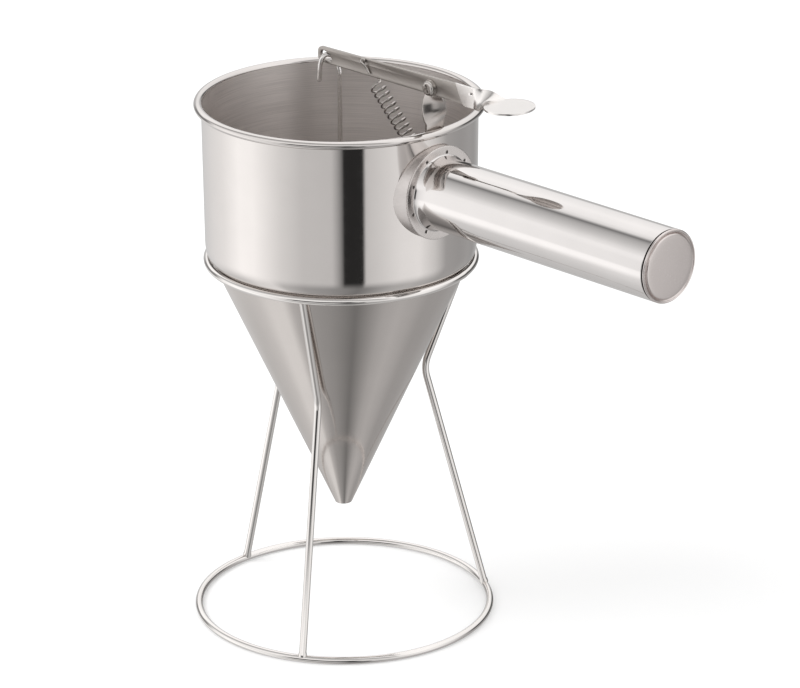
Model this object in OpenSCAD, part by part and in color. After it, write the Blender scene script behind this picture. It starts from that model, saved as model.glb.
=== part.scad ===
// Confectionery funnel: a hand-held dosing funnel with a lever valve, standing in a wire stand.
// Millimetres. Origin on the funnel's axis at the floor, +X along the handle, +Z up.
// The lever works in an upright plane just beside the X axis, on its -Y side.

/* [Stand] */
// Diameter of the stand's wire
wire_d = 4; // [3:0.1:5]
// Centreline radius of the ring on the floor
base_ring_r = 80; // [72:0.5:95]
// Depth that the base ring is ground flat underneath
foot_flat = 0.15; // [0.1:0.01:0.3]
// Depth of the top ring's middle below the cone's top edge
ring_drop = 2.2; // [1.9:0.1:8]
// Radius of a leg's centreline at its bend
leg_bend_r = 45.4; // [40:0.1:50]
// Height of the bend's corner
leg_bend_z = 135; // [120:1:150]
// Radius that the leg is bent to
leg_bend_curve = 20; // [10:1:30]
// Gap between the cone and the top ring that carries it
ring_seat_gap = 0.3; // [0.2:0.05:0.5]

/* [Funnel] */
// Sheet thickness of bowl and cone
sheet_t = 0.8; // [0.6:0.05:1]
// Height of the outlet above the floor
outlet_z = 60.5; // [50:0.5:62]
// Outer radius of the outlet
outlet_r = 4.5; // [4:0.1:6]
// Height of the cone from the outlet to its upright lip
cone_h = 144.4; // [140:0.1:160]
// Outer radius of the cone's upright lip
cone_lip_r = 70.05; // [69.8:0.05:70.5]
// Height of the cone's upright lip
cone_lip_h = 3; // [2:0.1:3.5]
// Gap between the lip and the bowl's skirt round it
lip_gap = 0.05; // [0.03:0.01:0.1]
// Height of the skirt's lower edge above the cone's top edge
skirt_rise = 0.3; // [0.2:0.1:1]
// How far the shoulder carries the wall out over the skirt
shoulder_out = 1.6; // [1.2:0.1:3]
// How much wider the wall is under the rim than at the shoulder
wall_flare = 0.7; // [0.2:0.1:2]
// Radius of the bowl's shoulder
shoulder_r = 10; // [8:0.5:12]
// Height from the skirt's lower edge to the wall above the shoulder
shoulder_h = 8.8; // [8:0.1:12]
// Height of the bowl's wall from the shoulder to the rolled rim's middle
wall_h = 74.8; // [70:0.1:80]
// Height of the rolled rim itself
rim_h = 4.2; // [3.5:0.1:5]
// How far the rolled rim stands out over the wall
rim_out = 3.95; // [3:0.05:5]

/* [Handle] */
// Outer diameter of the handle tube
handle_d = 38; // [34:0.5:40]
// Wall of the handle tube
handle_wall = 1; // [0.8:0.1:1.5]
// Depth of the handle's axis below the rolled rim's middle
handle_drop = 32.5; // [28:0.1:40]
// Length of the handle tube
handle_l = 157; // [120:1:180]
// Radius of the end cap's flat face
cap_face_r = 16.2; // [14:0.1:17]
// Depth of the end cap's rounded lip
cap_lip = 2.5; // [2:0.1:4]
// Length of the end cap's plug inside the tube
cap_plug = 9; // [5:0.5:15]
// Radius of the saddle that the handle stands on
saddle_r = 25; // [22:0.1:27]
// Height of the saddle's flat face over the bowl's wall
saddle_stand = 3.1; // [2.6:0.1:6]
// Sheet thickness of the saddle
saddle_t = 1; // [0.8:0.1:1.2]
// Rounding of the saddle's outer edge
saddle_edge = 0.6; // [0.3:0.1:0.7]
// Overhang of the saddle's face over the collar behind it
saddle_over = 4.5; // [3.5:0.1:5]
// Gap at the weld between the saddle's face and the handle tube
tube_weld_gap = 0.1; // [0.08:0.01:0.2]
// Fit between the end cap's plug and the handle tube
tube_fit = 0.05; // [0.03:0.01:0.1]

/* [Lever] */
// Thickness of the lever strip
lever_t = 1.8; // [1.5:0.1:2.2]
// Depth of the lever's lower edge below the pivot
lever_under = 3.7; // [3.4:0.1:6]
// Height of the lever's upper edge over the pivot, at the hook end
lever_over_hook = 4.7; // [4.5:0.1:6]
// Height of the lever's upper edge over the pivot, at the thumb end
lever_over_thumb = 6.3; // [5.6:0.1:8]
// Hook end of the lever, measured along the handle
lever_hook_x = -13; // [-18:0.5:-12.8]
// Length of the lever strip from the pivot to its thumb end
lever_thumb_l = 31.6; // [30:0.1:34]
// Rounding of the lever's hook end
lever_corner = 3; // [2:0.1:4]
// Distance of the pivot outward from the bracket's middle
pivot_out = 0.4; // [0:0.1:1]
// Height of the pivot above the rolled rim's middle
pivot_rise = 24.1; // [22:0.1:28]
// Running gap on each side of the lever
lever_gap = 0.05; // [0.03:0.01:0.1]
// Width of the slot for the rod's hook
slot_w = 4.6; // [4.4:0.1:4.8]
// Radius of the hole for the return spring's hook
spring_hole_r = 1; // [0.8:0.05:1.1]

/* [Thumb plate] */
// Thickness of the thumb plate
thumb_t = 1; // [0.8:0.1:1.5]
// Length of the thumb plate's overlap on the lever
thumb_lap = 13; // [9:0.5:18]
// Half height of the thumb plate's upright part
thumb_half = 5.5; // [5:0.1:6]
// Height of the upright part's middle over the pivot
thumb_rise = 1.4; // [0.8:0.1:2]
// Rise of the pad over the middle of the upright part
pad_rise = 1; // [0:0.1:2]
// Distance of the pad's middle from the lever's thumb end
pad_out = 25.3; // [23:0.1:29]
// Half length of the pad along the handle
pad_half_len = 12.3; // [11:0.1:14]
// Half width of the pad across the handle
pad_half_w = 13.8; // [12:0.1:15]

/* [Bracket] */
// Width of the bracket strip
bracket_w = 12.3; // [11:0.1:13]
// Thickness of the bracket strip
bracket_t = 1.5; // [1.2:0.1:1.8]
// Height of the bracket's upper end over the pivot
bracket_over = 4.3; // [3.9:0.1:6]
// Depth at which the twist starts below the pivot
twist_under = 4.9; // [4.6:0.1:7]
// Length of the twist
twist_l = 14.5; // [12:0.5:16]
// Length of the straight strip below the twist
bracket_l = 37.5; // [30:0.5:45]
// Reach of the spring tab from the bracket's face
tab_reach = 4.6; // [4.2:0.1:6]
// Thickness of the spring tab
tab_t = 1.2; // [1:0.1:1.5]
// Height of the spring tab
tab_h = 5; // [4.5:0.1:6]
// Height of the hole in the spring tab over the bracket's lower end
tab_rise = 8.5; // [6:0.5:12]

/* [Pivot screw] */
// Thread diameter of the pivot screw
screw_d = 4; // [3.5:0.1:4.5]
// Gap between the screw and the holes it goes through
screw_gap = 0.1; // [0.05:0.01:0.2]
// Diameter of the screw's pan head
head_d = 7.6; // [7:0.1:8]
// Height of the screw's pan head
head_h = 2.3; // [2:0.1:2.6]
// Arm length of the cross recess
recess_l = 4.2; // [3.6:0.1:5]
// Arm width of the cross recess
recess_w = 0.9; // [0.7:0.1:1.1]
// Depth of the cross recess
recess_h = 1.3; // [1:0.1:1.5]
// Diameter of the washer under the head
washer_d = 9; // [8:0.1:9.5]
// Thickness of the washer under the head
washer_t = 0.6; // [0.4:0.1:0.8]
// Thickness of the spacer washer between lever and bracket
spacer_t = 0.35; // [0.3:0.05:0.5]
// Width of the nut across its flats
nut_af = 7; // [6.5:0.1:8]
// Height of the nut
nut_h = 3.2; // [2.5:0.1:3.5]
// Length of the screw past the nut
screw_past = 1; // [0.5:0.1:3]

/* [Stopper] */
// Diameter of the stopper rod's wire
rod_d = 2.6; // [2.2:0.1:3]
// Gap between the rod and the lever beside it
rod_gap = 0.2; // [0.2:0.05:0.3]
// Gap between the stopper plug and the cone it closes
plug_gap = 0.3; // [0.2:0.05:0.4]
// Height of the stopper plug's seat
plug_h = 11; // [8:0.5:16]
// Height of the plug's neck above its seat
plug_neck_h = 6; // [4:0.5:10]
// Radius of the plug's neck
plug_neck_r = 3.2; // [2.5:0.1:4]
// Depth that the rod is set in the plug
rod_set = 9; // [6:0.5:12]

/* [Return spring] */
// Diameter of the spring's wire
spring_wire = 1; // [0.8:0.05:1.1]
// Outer diameter of the spring
spring_d = 8.5; // [7.5:0.1:9]
// Number of curls
spring_curls = 13; // [11:1:15]
// Distance of the spring's hole in the lever from the funnel's axis
spring_hole_x = 22.5; // [20:0.1:24]
// Height of the spring's hole over the pivot
spring_hole_rise = 3.3; // [2.6:0.1:3.4]
// Distance of the first curl's middle from the lever's hole, along the handle
coil_out = 6.1; // [5.5:0.1:7.5]
// Depth of the first curl's middle below the lever's hole
coil_drop = 12.2; // [11.8:0.1:13]
// Distance of the last curl's middle from the tab's hole, along the handle
coil_end_in = 8.15; // [7:0.05:10]
// Height of the last curl's middle over the tab's hole
coil_end_rise = 9; // [7.5:0.1:10.5]

/* [Hidden] */
$fn = 64;
wire_r = wire_d / 2;
base_z = wire_r - foot_flat;
leg_angles = [60, 180, -60];
weld_gap = 0.03;

// Heights from the outlet up
cone_top_z = outlet_z + cone_h;
top_ring_z = cone_top_z - ring_drop;
skirt_z = cone_top_z + skirt_rise;
shoulder_z = skirt_z + shoulder_h;
rim_z = shoulder_z + wall_h;
handle_z = rim_z - handle_drop;
pivot_z = rim_z + pivot_rise;

// The cone's outer line from the outlet to its top edge
cone_slope = (cone_lip_r - outlet_r) / (cone_top_z - outlet_z);
cone_half_angle = atan(cone_slope);
cone_across = sheet_t / cos(cone_half_angle);
function cone_r(z) = outlet_r + (z - outlet_z) * cone_slope;
top_ring_r = cone_r(top_ring_z) + (wire_r + ring_seat_gap) / cos(cone_half_angle);

// The bowl's sheet: skirt, shoulder, wall and rolled rim
skirt_r = cone_lip_r + lip_gap + sheet_t;
bowl_foot_r = skirt_r + shoulder_out;
bowl_rim_r = bowl_foot_r + wall_flare;
rim_r = bowl_rim_r + rim_out;
shoulder_mid_r = bowl_foot_r - shoulder_r;
shoulder_turn = acos((skirt_r - shoulder_mid_r) / shoulder_r);
shoulder_turn_in = acos((skirt_r - sheet_t - shoulder_mid_r) / (shoulder_r - sheet_t));
rim_half = rim_h / 2;
function bowl_r(z) = bowl_foot_r + wall_flare * (z - shoulder_z) / wall_h;

// Layers across the lever's plane, from the rod's axis towards -Y
lever_back_y = -(rod_d / 2 + rod_gap);
lever_front_y = lever_back_y - lever_t;
washer_back_y = lever_front_y - lever_gap;
head_back_y = washer_back_y - washer_t;
spacer_front_y = lever_back_y + lever_gap;
bracket_front_y = spacer_front_y + spacer_t;
bracket_back_y = bracket_front_y + bracket_t;
bracket_mid_y = (bracket_front_y + bracket_back_y) / 2;
nut_back_y = bracket_back_y + nut_h;
thumb_mid_y = lever_front_y - thumb_t / 2;

// Heights of the lever and of the bracket, from the pivot
lever_low_z = pivot_z - lever_under;
lever_hook_top_z = pivot_z + lever_over_hook;
lever_thumb_top_z = pivot_z + lever_over_thumb;
thumb_mid_z = pivot_z + thumb_rise;
bracket_top_z = pivot_z + bracket_over;
twist_top_z = pivot_z - twist_under;
twist_low_z = twist_top_z - twist_l;
bracket_low_z = twist_low_z - bracket_l;
tab_hole_z = bracket_low_z + tab_rise;

// The bracket stands with its long edges against the bowl's inner wall
bracket_reach_y = bracket_w / 2 + abs(bracket_mid_y);
wall_touch = 0.05;
bracket_in_r = bowl_r(bracket_low_z) - sheet_t;
bracket_out_x = sqrt(pow(bracket_in_r, 2) - pow(bracket_reach_y, 2)) - wall_touch;
bracket_mid_x = bracket_out_x - bracket_t / 2;
bracket_in_x = bracket_out_x - bracket_t;
pivot_x = bracket_mid_x + pivot_out;
lever_thumb_x = pivot_x + lever_thumb_l;
thumb_x = lever_thumb_x - thumb_lap;
pad_x = lever_thumb_x + pad_out;
tab_hole_x = bracket_in_x - tab_reach + tab_h / 2;
tab_hole_gap = 0.6;
tab_hole_r = spring_wire / 2 + tab_hole_gap;

handle_r = handle_d / 2;
bore_r = handle_r - handle_wall;
saddle_face_x = bowl_r(handle_z) + saddle_stand;
tube_start_x = saddle_face_x + tube_weld_gap;
handle_end_x = saddle_face_x + handle_l;

// Slot for the hook, slanted, long enough for the rod's sideways play over the lever's travel
slot_mid = [-6.6, pivot_z + 0.1];
slot_half = [2, -0.6];
slot_left = slot_mid - slot_half;
slot_right = slot_mid + slot_half;

// The rod's hook: up the axis, behind the lever, through the slot and down in front
hook_z = slot_mid[1] + 0.6;
hook_route = [
    [0, 0, hook_z - 8.6], [-0.5, 0, hook_z - 6.2], [-1.6, 0, hook_z - 4.1], [-3.2, 0, hook_z - 2.2],
    [-4.9, -0.3, hook_z - 0.7], [-6.2, lever_back_y, hook_z], [-7.1, lever_front_y + 0.1, hook_z],
    [-7.7, lever_front_y - 1.4, hook_z - 1.1], [-8.1, lever_front_y - 2.3, hook_z - 3.2],
    [-8.4, lever_front_y - 2.7, hook_z - 6.1], [-8.8, lever_front_y - 3.1, hook_z - 14.1]
];

plug_lip = 0.8;
plug_low_z = outlet_z + plug_lip;
plug_top_z = plug_low_z + plug_h;
function plug_r(z) = cone_r(z) - (sheet_t + plug_gap) / cos(cone_half_angle);

// The return spring's coil, and the points of its two hooks
coil_r = (spring_d - spring_wire) / 2;
spring_hole_z = pivot_z + spring_hole_rise;
coil_x = spring_hole_x + coil_out;
coil_z = spring_hole_z - coil_drop;
coil_end_x = tab_hole_x - coil_end_in;
coil_end_z = tab_hole_z + coil_end_rise;
coil_axis = [coil_end_x - coil_x, 0, coil_end_z - coil_z];
coil_len = norm(coil_axis);
coil_dir = coil_axis / coil_len;
coil_side = [-coil_dir[2], 0, coil_dir[0]];
coil_mid_y = bracket_mid_y;
curl_rings = 8;
tube_sides = 6;
function coil_point(turn) =
    [coil_x, coil_mid_y, coil_z] + coil_dir * (coil_len * turn / spring_curls)
    + coil_side * (coil_r * cos(360 * turn)) + [0, coil_r * sin(360 * turn), 0];
coil_points = [for (i = [0:curl_rings * spring_curls]) coil_point(i / curl_rings)];
lever_hook = [
    [spring_hole_x + 4.2, lever_front_y - 1, spring_hole_z - 5.4],
    [spring_hole_x + 1.8, lever_front_y - 1, spring_hole_z - 2.2],
    [spring_hole_x + 0.4, lever_front_y - 0.9, spring_hole_z - 0.4],
    [spring_hole_x, lever_front_y, spring_hole_z],
    [spring_hole_x, lever_back_y, spring_hole_z],
    [spring_hole_x + 0.3, lever_back_y + 1, spring_hole_z - 0.6],
    [spring_hole_x + 1.6, lever_back_y + 1.4, spring_hole_z - 2.8],
    [spring_hole_x + 4.6, lever_back_y + 1.4, spring_hole_z - 7],
    coil_point(-0.12) + coil_dir * -0.9
];
tab_hook = [
    coil_point(spring_curls + 0.12) + coil_dir * 0.9,
    [tab_hole_x - 2.6, coil_mid_y + 2.2, tab_hole_z + 2.4],
    [tab_hole_x - 0.5, coil_mid_y + 2, tab_hole_z + 0.5],
    [tab_hole_x, coil_mid_y + 1, tab_hole_z],
    [tab_hole_x, coil_mid_y - 1, tab_hole_z],
    [tab_hole_x - 0.6, coil_mid_y - 2, tab_hole_z + 0.5],
    [tab_hole_x - 2.8, coil_mid_y - 2.2, tab_hole_z + 2.6]
];
spring_route = concat(lever_hook, coil_points, tab_hook);

// Least gap of the spring's wire to itself, measured on points half a curl or more apart
spring_gap = min([
    for (i = [0:len(spring_route) - 1 - curl_rings / 2], j = [i + curl_rings / 2:len(spring_route) - 1])
        norm(spring_route[i] - spring_route[j])
]) - spring_wire;

// Stations of the thumb plate: [along the handle, half width, low cut, turn]
twist_x = lever_thumb_x + 0.8;
twist_len = 11;
pad_neck = 6.2;
function smooth(t) = t * t * (3 - 2 * t);

// A round bar between two points
module bar(a, b, r) {
    d = b - a;
    translate(a)
        rotate([0, acos(d[2] / norm(d)), atan2(d[1], d[0])])
            cylinder(r = r, h = norm(d));
}

// Points on a smooth curve through a route: each length between two points is cut in four
function at(p, i) = p[max(0, min(i, len(p) - 1))];
function curve_point(p, i, t) =
    0.5 * (2 * at(p, i) + t * (at(p, i + 1) - at(p, i - 1))
        + t * t * (2 * at(p, i - 1) - 5 * at(p, i) + 4 * at(p, i + 1) - at(p, i + 2))
        + t * t * t * (3 * at(p, i) - at(p, i - 1) - 3 * at(p, i + 1) + at(p, i + 2)));
function curve_through(p) =
    concat([for (i = [0:len(p) - 2], t = [0:0.25:0.75]) curve_point(p, i, t)], [p[len(p) - 1]]);

// A tube swept along points; each ring lies square to the route and keeps its roll
function unit(v) = v / norm(v);
function way(p, i) = unit(p[min(i + 1, len(p) - 1)] - p[max(i - 1, 0)]);
function carry(p, i, side) =
    let (s = side - way(p, i) * (side * way(p, i)))
    i == len(p) - 1 ? [unit(s)] : concat([unit(s)], carry(p, i + 1, unit(s)));
module tube_along(points, r, sides, side) {
    n = len(points);
    sides_at = carry(points, 0, side);
    rings = [for (i = [0:n - 1], k = [0:sides - 1])
        points[i] + r * (sides_at[i] * cos(360 * k / sides)
            + cross(way(points, i), sides_at[i]) * sin(360 * k / sides))];
    walls = [for (i = [0:n - 2], k = [0:sides - 1])
        let (a = i * sides + k, b = i * sides + (k + 1) % sides)
        each [[a, a + sides, b], [b, a + sides, b + sides]]];
    start = [for (k = [1:sides - 2]) [0, k, k + 1]];
    end = [for (k = [1:sides - 2]) [(n - 1) * sides, (n - 1) * sides + k + 1, (n - 1) * sides + k]];
    polyhedron(rings, concat(walls, start, end));
}

// A flat strip swept through four-cornered stations
module strip_through(stations) {
    n = len(stations);
    points = [for (s = stations) each s];
    walls = [for (i = [0:n - 2], k = [0:3])
        let (a = i * 4 + k, b = i * 4 + (k + 1) % 4)
        each [[a, a + 4, b], [b, a + 4, b + 4]]];
    ends = [[0, 1, 2], [0, 2, 3], [4 * n - 4, 4 * n - 2, 4 * n - 3], [4 * n - 4, 4 * n - 1, 4 * n - 2]];
    polyhedron(points, concat(walls, ends));
}

module ring_wire(r, z) {
    translate([0, 0, z]) rotate_extrude($fn = 128) translate([r, 0]) circle(r = wire_r);
}

module stand_base_ring() {
    color("silver") difference() {
        ring_wire(base_ring_r, base_z);
        translate([0, 0, -wire_d]) cylinder(r = base_ring_r + wire_d, h = wire_d);
    }
}

module stand_top_ring() {
    color("silver") ring_wire(top_ring_r, top_ring_z);
}

// One leg: two straight lengths of wire and the bend between them, from ring to ring
module stand_leg(angle) {
    leg_sides = 16;
    bend_steps = 8;
    end_cut = wire_r + weld_gap;
    low = [base_ring_r, base_z];
    bend = [leg_bend_r, leg_bend_z];
    high = [top_ring_r, top_ring_z];
    low_way = unit(low - bend);
    high_way = unit(high - bend);
    low_slant = atan2(low_way[0], -low_way[1]);
    high_slant = atan2(high_way[0], high_way[1]);
    turn = low_slant + high_slant;
    cut_back = leg_bend_curve * tan(turn / 2);
    middle = bend + low_way * cut_back + leg_bend_curve * [cos(low_slant), sin(low_slant)];
    curve = [for (i = [0:bend_steps]) let (a = low_slant - turn * i / bend_steps)
        middle - leg_bend_curve * [cos(a), sin(a)]];
    route = concat([low - low_way * end_cut], curve, [high - high_way * end_cut]);
    color("silver") rotate([0, 0, angle])
        tube_along([for (p = route) [p[0], 0, p[1]]], wire_r, leg_sides, [0, 1, 0]);
}
module stand_leg_left() { stand_leg(leg_angles[0]); }
module stand_leg_rear() { stand_leg(leg_angles[1]); }
module stand_leg_right() { stand_leg(leg_angles[2]); }

// Sheet bowl: a skirt over the cone's lip, a shoulder, a wall that opens a little, a rolled rim
module funnel_bowl() {
    arc_steps = 8;
    rim_inner = bowl_rim_r - sheet_t + rim_half;
    rim_outer = rim_r - rim_half;
    outer_arc = [for (i = [0:arc_steps]) let (a = -shoulder_turn * (1 - i / arc_steps))
        [shoulder_mid_r + shoulder_r * cos(a), shoulder_z + shoulder_r * sin(a)]];
    inner_arc = [for (i = [0:arc_steps]) let (a = -shoulder_turn_in * i / arc_steps)
        [shoulder_mid_r + (shoulder_r - sheet_t) * cos(a), shoulder_z + (shoulder_r - sheet_t) * sin(a)]];
    color("gainsboro") rotate_extrude($fn = 128) {
        polygon(concat(
            [[skirt_r - sheet_t, skirt_z], [skirt_r, skirt_z]], outer_arc,
            [[bowl_rim_r, rim_z], [bowl_rim_r - sheet_t, rim_z]], inner_arc));
        translate([rim_inner, rim_z]) circle(r = rim_half);
        translate([rim_outer, rim_z]) circle(r = rim_half);
        translate([rim_inner, rim_z - rim_half]) square([rim_outer - rim_inner, rim_h]);
    }
}

// Sheet cone with the outlet at its tip and an upright lip inside the bowl's skirt
module funnel_cone() {
    color("silver") rotate_extrude($fn = 128) polygon([
        [outlet_r - cone_across, outlet_z],
        [outlet_r, outlet_z],
        [cone_lip_r, cone_top_z],
        [cone_lip_r, cone_top_z + cone_lip_h],
        [cone_lip_r - sheet_t, cone_top_z + cone_lip_h],
        [cone_lip_r - sheet_t, cone_top_z + (cone_across - sheet_t) / cone_slope]
    ]);
}

// Pressed saddle: a flat round face with a rounded edge, on a collar fitted to the bowl's wall
module handle_saddle() {
    edge_steps = 4;
    hole_r = bore_r - saddle_t;
    collar_r = saddle_r - saddle_over;
    face_back_x = saddle_face_x - saddle_t;
    collar_back_x = bowl_foot_r / 2;
    edge = [for (i = [0:edge_steps]) let (a = 90 * i / edge_steps)
        [saddle_r - saddle_edge * (1 - cos(a)), saddle_face_x - saddle_edge * (1 - sin(a))]];
    color("silver") difference() {
        translate([0, 0, handle_z]) rotate([0, 90, 0]) rotate_extrude() polygon(concat(
            [[collar_r, collar_back_x], [collar_r, face_back_x], [saddle_r, face_back_x]], edge,
            [[hole_r, saddle_face_x], [hole_r, face_back_x],
             [collar_r - saddle_t, face_back_x], [collar_r - saddle_t, collar_back_x]]));
        cylinder(r = bowl_r(handle_z + saddle_r) + lip_gap, h = rim_z, $fn = 128);
    }
}

// Handle tube, welded on the saddle's face
module handle_tube() {
    color("gainsboro") translate([tube_start_x, 0, handle_z]) rotate([0, 90, 0]) difference() {
        cylinder(r = handle_r, h = handle_end_x - tube_start_x);
        translate([0, 0, -1]) cylinder(r = bore_r, h = handle_end_x - tube_start_x + 2);
    }
}

// Pressed end cap: a rounded lip over the tube's end, a flat face and a plug inside the tube
module handle_end_cap() {
    lip_steps = 6;
    rim = [for (i = [0:lip_steps]) let (a = 90 * i / lip_steps)
        [cap_face_r + (handle_r - cap_face_r) * cos(a), cap_lip * sin(a)]];
    color("silver") translate([handle_end_x, 0, handle_z]) rotate([0, 90, 0]) difference() {
        rotate_extrude() polygon(concat(
            [[0, -cap_plug], [bore_r - tube_fit, -cap_plug], [bore_r - tube_fit, 0], [handle_r, 0]],
            rim, [[0, cap_lip]]));
        translate([0, 0, -cap_plug - 1]) cylinder(r = bore_r - tube_fit - handle_wall, h = cap_plug + 1);
    }
}

// Bracket strip: flat against the wall below, turned a quarter round, upright beside the lever above
module pivot_bracket() {
    twist_steps = 10;
    hw = bracket_w / 2;
    ht = bracket_t / 2;
    twist = [for (i = [0:twist_steps])
        let (t = i / twist_steps, a = 90 * smooth(1 - t), z = twist_low_z + (twist_top_z - twist_low_z) * t)
        [for (c = [[-hw, -ht], [hw, -ht], [hw, ht], [-hw, ht]])
            [bracket_mid_x + c[0] * cos(a) - c[1] * sin(a),
             bracket_mid_y + c[0] * sin(a) + c[1] * cos(a), z]]];
    color("silver") difference() {
        union() {
            translate([bracket_mid_x - hw, bracket_front_y, twist_top_z])
                cube([bracket_w, bracket_t, bracket_top_z - twist_top_z]);
            strip_through(twist);
            translate([bracket_in_x, bracket_mid_y - hw, bracket_low_z])
                cube([bracket_t, bracket_w, twist_low_z - bracket_low_z]);
            translate([bracket_in_x - tab_reach, bracket_mid_y - tab_t / 2, tab_hole_z - tab_h / 2])
                cube([tab_reach, tab_t, tab_h]);
        }
        translate([pivot_x, bracket_back_y + 1, pivot_z]) rotate([90, 0, 0])
            cylinder(r = screw_d / 2 + screw_gap, h = bracket_t + 2);
        translate([tab_hole_x, bracket_mid_y + tab_t, tab_hole_z]) rotate([90, 0, 0])
            cylinder(r = tab_hole_r, h = 2 * tab_t);
    }
}

// Pan head screw with a cross recess
module pivot_screw() {
    dome_steps = 5;
    dome = [for (i = [0:dome_steps]) let (a = 90 * i / dome_steps)
        [head_d / 2 - head_h / 2 * (1 - cos(a)), head_h / 2 * (1 + sin(a))]];
    shank = nut_back_y + screw_past - head_back_y;
    color("lightgray") translate([pivot_x, head_back_y, pivot_z]) rotate([90, 0, 0]) difference() {
        union() {
            rotate_extrude() polygon(concat([[0, 0], [head_d / 2, 0]], dome, [[0, head_h]]));
            translate([0, 0, -shank]) cylinder(r = screw_d / 2, h = shank);
        }
        for (a = [0, 90]) rotate([0, 0, a + 20])
            translate([-recess_l / 2, -recess_w / 2, head_h - recess_h]) cube([recess_l, recess_w, recess_h + 1]);
    }
}

module flat_washer(back_y, d, t) {
    color("lightgray") translate([pivot_x, back_y, pivot_z]) rotate([90, 0, 0]) difference() {
        cylinder(r = d / 2, h = t);
        translate([0, 0, -1]) cylinder(r = screw_d / 2 + screw_gap, h = t + 2);
    }
}
module head_washer() { flat_washer(washer_back_y, washer_d, washer_t); }
module spacer_washer() { flat_washer(bracket_front_y, washer_d, spacer_t); }

module pivot_nut() {
    color("lightgray") translate([pivot_x, nut_back_y, pivot_z]) rotate([90, 0, 0]) difference() {
        cylinder(r = nut_af / 2 / cos(30), h = nut_h, $fn = 6);
        translate([0, 0, -1]) cylinder(r = screw_d / 2, h = nut_h + 2);
    }
}

// Lever strip, cut for the rod's hook, the spring's hook and the pivot screw
module lever_arm() {
    corner_steps = 6;
    function corner(x, z, from) = [for (i = [0:corner_steps]) let (a = from + 90 * i / corner_steps)
        [x + lever_corner * cos(a), z + lever_corner * sin(a)]];
    outline = concat(
        [[lever_thumb_x, lever_low_z], [lever_thumb_x, lever_thumb_top_z]],
        corner(lever_hook_x + lever_corner, lever_hook_top_z - lever_corner, 90),
        corner(lever_hook_x + lever_corner, lever_low_z + lever_corner, 180));
    slot_way = slot_right - slot_left;
    color("darkgray") translate([0, lever_back_y, 0]) rotate([90, 0, 0]) difference() {
        linear_extrude(lever_t) polygon(outline);
        translate([0, 0, -1]) {
            translate(slot_left) cylinder(r = slot_w / 2, h = lever_t + 2);
            translate(slot_right) cylinder(r = slot_w / 2, h = lever_t + 2);
            translate(slot_left) rotate([0, 0, atan2(slot_way[1], slot_way[0])])
                translate([0, -slot_w / 2, 0]) cube([norm(slot_way), slot_w, lever_t + 2]);
            translate([spring_hole_x, spring_hole_z]) cylinder(r = spring_hole_r, h = lever_t + 2);
            translate([pivot_x, pivot_z]) cylinder(r = screw_d / 2 + screw_gap, h = lever_t + 2);
        }
    }
}

// Thumb plate: upright on the lever with a slanted end, turned a quarter round into a flat oval pad
module thumb_plate() {
    ht = thumb_t / 2;
    slant = 5.2;
    toe = 3.2;
    // Low cut of the slanted end: how much of the plate's full height is missing below
    slanted_end = [[0, 0.97], [0.5, 0.5], [1, 0.1], [1.25, 0.02], [1.6, 0]];
    low = thumb_mid_z - thumb_half;
    high = thumb_mid_z + thumb_half;
    plate = [for (s = slanted_end)
        let (x = thumb_x + s[0] * slant + (s[0] > 1 ? toe * (s[0] - 1) : 0), bottom = low + s[1] * (high - low))
        [[x, thumb_mid_y - ht, bottom], [x, thumb_mid_y - ht, high],
         [x, thumb_mid_y + ht, high], [x, thumb_mid_y + ht, bottom]]];
    turn_steps = 10;
    function pad_half(x) = pad_half_w * sqrt(max(0, 1 - pow((x - pad_x) / pad_half_len, 2)));
    function turned(x, half, a, rise) = [for (c = [[-half, -ht], [half, -ht], [half, ht], [-half, ht]])
        [x, thumb_mid_y + c[0] * sin(a) + c[1] * cos(a), thumb_mid_z + rise + c[0] * cos(a) - c[1] * sin(a)]];
    turning = [for (i = [0:turn_steps]) let (t = i / turn_steps)
        turned(twist_x + twist_len * t, thumb_half + (pad_neck - thumb_half) * t, 90 * smooth(t), pad_rise * smooth(t))];
    pad_start = 140;
    pad_steps = 14;
    pad = [for (i = [0:pad_steps]) let (a = pad_start * (1 - i / pad_steps),
            x = pad_x + pad_half_len * cos(a))
        turned(x, max(pad_half(x), 0.4), 90, pad_rise)];
    color("gainsboro") strip_through(concat(plate, turning, pad));
}

// Return spring: open coil with a hook through the lever above and the bracket's tab below
module return_spring() {
    color("dimgray") tube_along(spring_route, spring_wire / 2, tube_sides, [0, 0, 1]);
}

// Stopper rod: a straight wire down the funnel's axis, hooked into the lever at its top
module stopper_rod() {
    hook_sides = 12;
    flat_play = 0.02;
    color("silver") {
        bar([0, 0, plug_top_z + plug_neck_h - rod_set], hook_route[0], rod_d / 2);
        tube_along(curve_through(hook_route), rod_d / 2 - flat_play, hook_sides, [0, 1, 0]);
    }
}

// Stopper plug: turned cone that closes the outlet from inside, drilled for the rod
module stopper_plug() {
    shoulder = 2;
    color("silver") difference() {
        rotate_extrude() polygon([
            [0, plug_low_z], [plug_r(plug_low_z), plug_low_z], [plug_r(plug_top_z), plug_top_z],
            [plug_r(plug_top_z) - shoulder, plug_top_z + shoulder], [plug_neck_r, plug_top_z + shoulder],
            [plug_neck_r, plug_top_z + plug_neck_h], [0, plug_top_z + plug_neck_h]
        ]);
        translate([0, 0, plug_top_z + plug_neck_h - rod_set]) cylinder(r = rod_d / 2, h = rod_set + 1);
    }
}

echo(spring_gap = spring_gap);
stand_base_ring();
stand_top_ring();
stand_leg_left();
stand_leg_rear();
stand_leg_right();
funnel_bowl();
funnel_cone();
handle_saddle();
handle_tube();
handle_end_cap();
pivot_bracket();
pivot_screw();
head_washer();
spacer_washer();
pivot_nut();
lever_arm();
thumb_plate();
return_spring();
stopper_rod();
stopper_plug();
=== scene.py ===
import math

import bmesh
import bpy
from mathutils import Matrix, Vector


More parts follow.
